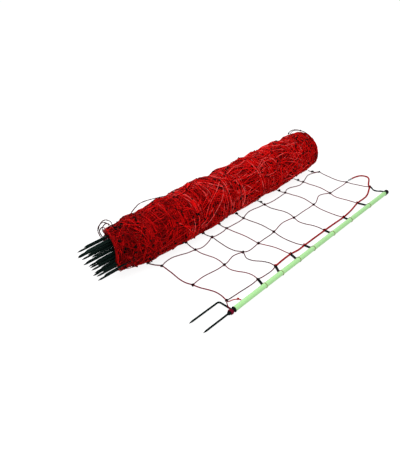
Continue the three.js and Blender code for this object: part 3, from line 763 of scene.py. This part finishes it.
# The posts inside the roll, the same as the laid-out one: green tube with black foot and cap, and a dark green
# fork. They lie in rows, turned alternately so that their forks nest, and their feet stick out of the roll. Each
# fork sits a little askew and in or out, as the posts were put down.
fork_twist = 3  # degrees about the post
fork_tilt = 1.1  # degrees out of line with the post
fork_slide = 0.008
fork_dice = random.Random(5)
for number in range(1, 14):
    post_name, fork_name = f"rolled_post_{number:02d}", f"rolled_fork_{number:02d}"
    post_low, post_high = (Vector(corner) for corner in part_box(post_name))
    fork_low, fork_high = (Vector(corner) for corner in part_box(fork_name))
    axis = Vector((post_low.x - nose_end, (post_low.y + post_high.y) / 2, (post_low.z + post_high.z) / 2))
    sideways = (fork_low + fork_high) / 2 - axis
    sideways.x = 0
    sideways.normalize()
    rolled = bmesh.new()
    turned(
        rolled,
        [
            (0.034, tube_radius - tube_wall), (0.034, tube_radius), (1.082, tube_radius),
            (1.082, tube_radius - tube_wall),
        ],
        24,
        axis,
        closed=True,
    )
    green_faces = len(rolled.faces)
    turned(
        rolled,
        [
            (nose_end, 0), (nose_end, 0.0045), (nose_end + 0.003, nose_radius), (-0.004, nose_radius),
            (-0.001, tube_radius - 0.001), (0.0005, tube_radius), (0.034, tube_radius), (0.034, 0.006),
        ],
        24,
        axis,
    )
    turned(
        rolled,
        [
            (1.082, 0.006), (1.082, tube_radius), (1.1015, tube_radius), (1.1032, tube_radius - 0.0012),
            (1.104, tube_radius - 0.003), (1.104, 0),
        ],
        24,
        axis,
    )
    rolled.faces.ensure_lookup_table()
    for face in rolled.faces[green_faces:]:
        face.material_index = 1
    rolled_post = hang(
        f"rolled_tube_{number:02d}", finished(f"rolled_tube_{number:02d}", rolled), post_green, "post_green",
        post_name,
    )
    rolled_post.data.materials.append(moulded_black)
    upwards = Vector((1, 0, 0)).cross(sideways)
    turn = Matrix((Vector((1, 0, 0)), sideways, upwards)).transposed().to_4x4()
    rolled_fork = bmesh.new()
    askew = Matrix.Rotation(math.radians(fork_dice.uniform(-fork_twist, fork_twist)), 4, "X")
    askew = askew @ Matrix.Rotation(math.radians(fork_dice.uniform(-fork_tilt, fork_tilt)), 4, "Y")
    askew = askew @ Matrix.Rotation(math.radians(fork_dice.uniform(-fork_tilt, fork_tilt)), 4, "Z")
    slid = Matrix.Translation((fork_dice.uniform(-fork_slide, fork_slide), 0, 0))
    fork_shape(rolled_fork, Matrix.Translation(axis) @ turn @ slid @ askew)
    fork_piece_name = f"rolled_spikes_{number:02d}"
    hang(fork_piece_name, finished(fork_piece_name, rolled_fork), spike_paint, "spike_steel", fork_name)


# The roll's body: the inner turns of netting, packed so tight that they are one mass with a bore for the posts,
# coloured dark red as painted shade for the depth under the outer strands. It is lumpy along its length, lies flat
# on the ground, and its turns show as ridges on its ends.
roll_axis = Vector((0, post_axis.y + 0.440, 0.1034))
roll_start = ground_line - 0.050
roll_length = 1.090
roll_end = roll_start + roll_length
roll_radius = 0.100
bore_radius = 0.0762
gather_length = 0.034
gather_radius = 0.060
gather_rise = 0.042
gather_sag = 0.018
gather_reach = 0.085
gather_turn = math.radians(100)
pulled_side = math.radians(155)
body_depth = 0.012
roll_lumps = [
    (0.0, -10), (0.013, -5), (0.05, -4), (0.09, -3), (0.135, -1.5), (0.18, 0), (0.22, 2), (0.26, 3), (0.3, 4),
    (0.36, 4), (0.42, -3), (0.46, -2), (0.5, 0), (0.54, 1), (0.58, 1), (0.65, -2), (0.7, 4), (0.76, 4),
    (0.8, 2), (0.84, -1), (0.885, -2), (0.93, -3), (0.96, -4), (0.987, -6), (1.0, -11),
]
roll_folds = [(3.2, 2, 6, 0.6), (3, -3, 9, 2.2), (2, 4, 13, 4.1)]


def roll_surface(x, angle):
    """The roll's outside radius at a place along it and an angle round it."""
    share = (x - roll_start) / roll_length
    fold = sum(
        height * math.sin(math.tau * along * share + turns * angle + first)
        for height, turns, along, first in roll_folds
    )
    pressed = (1 + math.sin(angle)) / 2
    fine = noise.noise(Vector((x * 19, 1.9 * math.cos(angle), 1.9 * math.sin(angle))))
    if share < 0:
        gathered = min((roll_start - x) / gather_length, 1)
        whole = roll_radius + roll_lumps[0][1] / 1000
        up = math.cos(angle - gather_turn)
        drawn = gather_radius + gather_rise * max(0, up) ** 1.5 + gather_sag * max(0, -up)
        return whole + gathered * (drawn - whole) + pressed * (fold * (1 - gathered) + 2 * fine) / 1000
    share = min(share, 1)
    for (s0, r0), (s1, r1) in zip(roll_lumps, roll_lumps[1:]):
        if share <= s1:
            t = (share - s0) / (s1 - s0)
            lump = r0 + (r1 - r0) * t * t * (3 - 2 * t)
            break
    return roll_radius + (lump + pressed * (fold + 2.5 * fine)) / 1000


def skewed(x, angle):
    """The gathered end is pulled out over the posts' feet, most on the side towards the laid-out post."""
    pulled = max(0, (roll_start - x) / gather_length)
    return x - gather_reach * pulled * math.sqrt((1 + math.cos(angle - pulled_side)) / 2)


def on_roll(x, angle, depth):
    """A place on the roll, a depth under its surface, and never under the ground."""
    radius = roll_surface(x, angle) - depth
    x = skewed(x, angle)
    y = roll_axis.y + radius * math.cos(angle)
    z = roll_axis.z + radius * math.sin(angle)
    return Vector((x, y, max(z, twine_radius)))


end_turns = 6
body_stations = 90
body_radius = roll_radius - body_depth
body = bmesh.new()
outline = [(roll_start - 0.002, bore_radius), (roll_start - 0.001, body_radius - 0.006)]
for k in range(body_stations + 1):
    outline.append((roll_start + 0.003 + k / body_stations * (roll_length - 0.008), body_radius))
for k in reversed(range(2 * end_turns)):
    dip = 0.004 if k % 2 else 0.001
    outline.append((roll_end - dip, bore_radius + 0.001 + k / (2 * end_turns) * (body_radius - bore_radius)))
outline.append((roll_end - 0.002, bore_radius))
turned(body, outline, 72, roll_axis, closed=True)
bmesh.ops.remove_doubles(body, verts=body.verts, dist=0.000002)
for vert in body.verts:
    across = Vector((0, vert.co.y - roll_axis.y, vert.co.z - roll_axis.z))
    if across.length > body_radius - 0.001:
        angle = math.atan2(across.z, across.y)
        ripple = 0.0022 * noise.noise(Vector((vert.co.x * 60, 5 * math.cos(angle), 5 * math.sin(angle))))
        vert.co = on_roll(vert.co.x, angle, body_depth - ripple)
# Painted shade: the body is coloured dark red for the shade deep inside the roll.
body_red_painted_shade = twine_finish(
    "body_red_painted_shade", (0.05, 0.0003, 0.0003), (0.13, 0.0008, 0.0008), (0.16, 0.001, 0.001), 1.0, 260, 0.85, 1.0
)
hang("roll_body", finished("roll_body", body), body_red_painted_shade, "netting_red", "netting_roll")


# The roll's outer turns: the net as it was wound, nine lines round and round with cross strings between them.
# Each knot has slipped along its line, and the slack of every string bows out between its two knots.
outer_turns = 60
cells_per_turn = 4.13
turn_depth = 0.00019
roll_twine_radius = 0.00135
roll_inset = 0.010
line_on_roll = [
    roll_start + roll_inset + up_post / 1079 * (roll_length - 2 * roll_inset) for up_post in line_up_post
]
cell_round = 0.157
strand_step = 0.0115


def drift(line, cell, pace, seed):
    """A sideways wander of a line as the net is wound, slow or quick."""
    return noise.noise(Vector((cell * pace, line * 5.3 + seed, seed)))


def roll_knot(line, cell):
    """Where a knot is on the roll: along it, the angle round it and its depth."""
    x = line_on_roll[line] + 0.150 * drift(line, cell, 0.020, 1.7) + 0.050 * drift(line, cell, 0.11, 9.1)
    x = min(max(x + 0.010 * drift(line, cell, 1.3, 5.2), roll_start - gather_length), roll_end + 0.002)
    slack = 1.5 * drift(line, cell, 0.07, 21.3) + 0.4 * drift(line, cell, 0.8, 33.3)
    angle = -math.pi / 2 - 0.2 - math.tau * cell / cells_per_turn + slack
    depth = 0.0010 + cell / cells_per_turn * turn_depth + 0.004 * (0.3 + drift(line, cell, 0.6, 47.7))
    return x, angle, max(depth, -0.001)


def roll_strand(start, end, length, bow_side, dice):
    """A piece of twine on the roll between two knots: its slack bows to one side and lifts a little."""
    run = (end[0] - start[0], (end[1] - start[1]) * roll_radius)
    chord = max(math.hypot(*run), 0.01)
    spare = max(length - chord, 0.004)
    bow = bow_side * min(math.sqrt(4 * chord * spare) / math.pi, 0.040)
    curl = dice.uniform(-0.006, 0.006)
    lift = dice.uniform(0, 0.0025)
    aside = (-run[1] / chord, run[0] / chord)
    count = max(3, round(length / strand_step))
    path = []
    for k in range(count + 1):
        share = k / count
        reach = bow * math.sin(math.pi * share) + curl * math.sin(math.tau * share)
        x = start[0] + run[0] * share + aside[0] * reach
        x = min(max(x, roll_start - gather_length - 0.002), roll_end + 0.004)
        angle = start[1] + (run[1] * share + aside[1] * reach) / roll_radius
        depth = start[2] + (end[2] - start[2]) * share - lift * math.sin(math.pi * share)
        path.append(on_roll(x, angle, depth))
    return path


def dust_and_end_shade(x, shade):
    """Painted shade: twine near the roll's near end is painted much darker than in its middle; near the far end it
    is a little darker too.
    """
    near = max(0, 1 - abs(x - roll_start + 0.02) / 0.20) + 0.4 * max(0, 1 - (roll_end - x) / 0.20)
    return shade * (1 - 0.65 * min(near, 1))


# The netting's pale pinkish last stop is a painted highlight on the outer strands.
net_red = twine_finish(
    "net_red", (0.10, 0.0002, 0.0008), (0.64, 0.0030, 0.0028), (0.72, 0.075, 0.07), 0.22, 800, 0.5, 0.4
)
strand_pieces = 4
cells = round(outer_turns * cells_per_turn)
dice = random.Random(3)
for part in range(strand_pieces):
    paths, shades = [], []
    for cell in range(part * cells // strand_pieces, (part + 1) * cells // strand_pieces):
        for line in range(9):
            here = roll_knot(line, cell)
            side = 1.6 * drift(line, cell, 0.35, 61.1) + dice.uniform(-0.2, 0.2)
            paths.append(roll_strand(here, roll_knot(line, cell + 1), cell_round, side, dice))
            if line < 8:
                gap = line_on_roll[line + 1] - line_on_roll[line]
                side = dice.choice((-1, 1)) * dice.uniform(0.4, 1)
                paths.append(roll_strand(here, roll_knot(line + 1, cell), gap + 0.012, side, dice))
            while len(shades) < len(paths):
                # Painted light and shade: slow random patches make strands lighter and darker in place of the
                # roll's folds, and deeper turns are painted darker.
                painted_fold_shading = noise.noise(Vector((here[0] * 15, 1.6 * math.cos(here[1]), 1.6 * math.sin(here[1]))))
                shades.append(dust_and_end_shade(here[0], dice.uniform(0.25, 1.05) + 0.6 * painted_fold_shading - 0.35 * cell / cells))
    strands = strand_mesh(f"roll_strands_{part + 1}", paths, roll_twine_radius, 0.05, 4, 0, shades)
    hang(f"roll_strands_{part + 1}", strands, net_red, "netting_red", "netting_roll")


# The knots of the outer turns, tied in the twine and black like those of the spread netting.
knotted_turns = 14
paths = []
for cell in range(round(knotted_turns * cells_per_turn)):
    for line in range(9):
        x, angle, depth = roll_knot(line, cell)
        turn = (dice.uniform(0, 6), dice.uniform(0, 6), dice.uniform(0, 6))
        paths.append(knot_path(on_roll(x, angle, depth + 0.0005), dice.uniform(0.007, 0.0115), turn, 12))
roll_knots = strand_mesh("roll_knots", paths, 0.0024, 0.05, 3, 0)
hang("roll_knots", roll_knots, knot_black, "moulded_black", "netting_roll")


# The ends of the roll. At the near end the net's edge is pulled out over the posts' feet in a loose sleeve, and
# a few strands stand off it in rings. At the far end the strings that slipped off the edge lie in loops.
sleeve_strands = 1100
sleeve_overlap = 0.05  # how far the sleeve's strands start up the roll
far_loops = 80
end_knot_count = 46
paths, shades = [], []
for k in range(sleeve_strands):
    x = roll_start + sleeve_overlap - dice.uniform(0, sleeve_overlap + 1.02 * gather_length)
    angle = dice.uniform(0, math.tau)
    heading = dice.choice((0.75, -0.75, 1.5, -1.5)) + dice.uniform(-0.25, 0.25)
    curve = dice.uniform(-0.12, 0.12)
    depth = dice.uniform(-0.001, 0.016)
    route = []
    for step in range(dice.randrange(6, 12)):
        route.append(on_roll(max(x, roll_start - 1.05 * gather_length), angle, depth))
        x -= 0.5 * strand_step * math.cos(heading) * (0.5 if x < roll_start else 1)
        angle += strand_step * math.sin(heading) / roll_radius
        heading += curve
    paths.append(route)
    # Painted shade: the sleeve's strands get darker tones than the roll's outer turns, for the shade at the near
    # end.
    shades.append(dice.uniform(-0.1, 0.55))
for k in range(far_loops):
    start_angle = dice.uniform(0, math.tau)
    sweep = dice.uniform(0.5, 1.9) * dice.choice((-1, 1))
    inner = dice.uniform(bore_radius + 0.003, roll_radius - 0.012)
    outer = dice.uniform(bore_radius + 0.006, roll_radius - 0.012)
    bulge = dice.uniform(0.001, 0.008)
    route = []
    for step in range(9):
        share = step / 8
        radius = inner + (outer - inner) * share + 0.008 * math.sin(math.pi * share) * dice.uniform(0.6, 1)
        angle = start_angle + sweep * share
        y = roll_axis.y + radius * math.cos(angle)
        z = max(roll_axis.z + radius * math.sin(angle), 0.002)
        route.append(Vector((roll_end + bulge * math.sin(math.pi * share) - 0.001, y, z)))
    paths.append(smooth_path(route, 0.011))
    shades.append(dice.uniform(0.0, 0.6))
end_loops = strand_mesh("roll_end_loops", paths, roll_twine_radius, 0.05, 4, 0, shades)
hang("roll_end_loops", end_loops, net_red, "netting_red", "netting_roll")

loose_paths = []
near_ring_shape = (
    (461, 179), (462, 207), (490, 207), (524, 182), (542, 146), (530, 112), (500, 112), (477, 146), (461, 179),
)
for ring_scale, ring_out in ((1, 0), (0.86, 9), (0.62, -4), (0.45, 14)):
    near_ring = []
    for k, (y, z) in enumerate(near_ring_shape):
        wander = 3 * math.sin(3 * k) - ring_out
        near_ring.append(spot(-125 + wander, 498 + ring_scale * (y - 500), 160 + ring_scale * (z - 158)))
    loose_paths.append(smooth_path(near_ring, 0.008))
loose_paths.append(smooth_path([
    spot(-40, 478, 178), spot(-18, 480, 196), spot(6, 481, 209), spot(23, 480, 216), spot(56, 480, 214),
    spot(95, 480, 207), spot(124, 480, 201), spot(155, 480, 193), spot(178, 478, 184),
], 0.008))
loose_paths.append(smooth_path([
    spot(-84, 420, 30), spot(-112, 430, 14), spot(-130, 445, 12), spot(-128, 458, 26), spot(-100, 450, 40),
], 0.006))
for ring_out, ring_scale in ((0, 1), (9, 0.95)):
    far_ring = [
        spot(1046 + ring_out, 440 + (y - 440) * ring_scale, 103 + (z - 103) * ring_scale)
        for y, z in (
            (505, 90), (530, 132), (528, 168), (505, 192), (462, 201), (421, 194), (384, 168), (358, 133),
            (350, 96), (356, 70),
        )
    ]
    loose_paths.append(smooth_path(far_ring, 0.008))
loose = strand_mesh("roll_loose_strands", loose_paths, twine_radius, 0.011, 6, 3, [0.1] * len(loose_paths))
hang("roll_loose_strands", loose, net_twine, "net_twine", "netting_roll")

end_knots = []
for k in range(end_knot_count):
    x = roll_start + 0.02 - dice.uniform(0, 0.02 + gather_length)
    place = on_roll(x, dice.uniform(0, math.tau), dice.uniform(-0.002, 0.003))
    turn = (dice.uniform(0, 6), dice.uniform(0, 6), dice.uniform(0, 6))
    end_knots.append(knot_path(place, dice.uniform(0.007, 0.012), turn, 12))
for y, z in ((528, 168), (462, 201), (384, 168)):
    end_knots.append(knot_path(spot(1046, y, z), 0.008, (0, 1, 0), 12))
roll_end_knots = strand_mesh("roll_end_knots", end_knots, 0.0022, 0.05, 3, 0)
hang("roll_end_knots", roll_end_knots, knot_black, "moulded_black", "netting_roll")
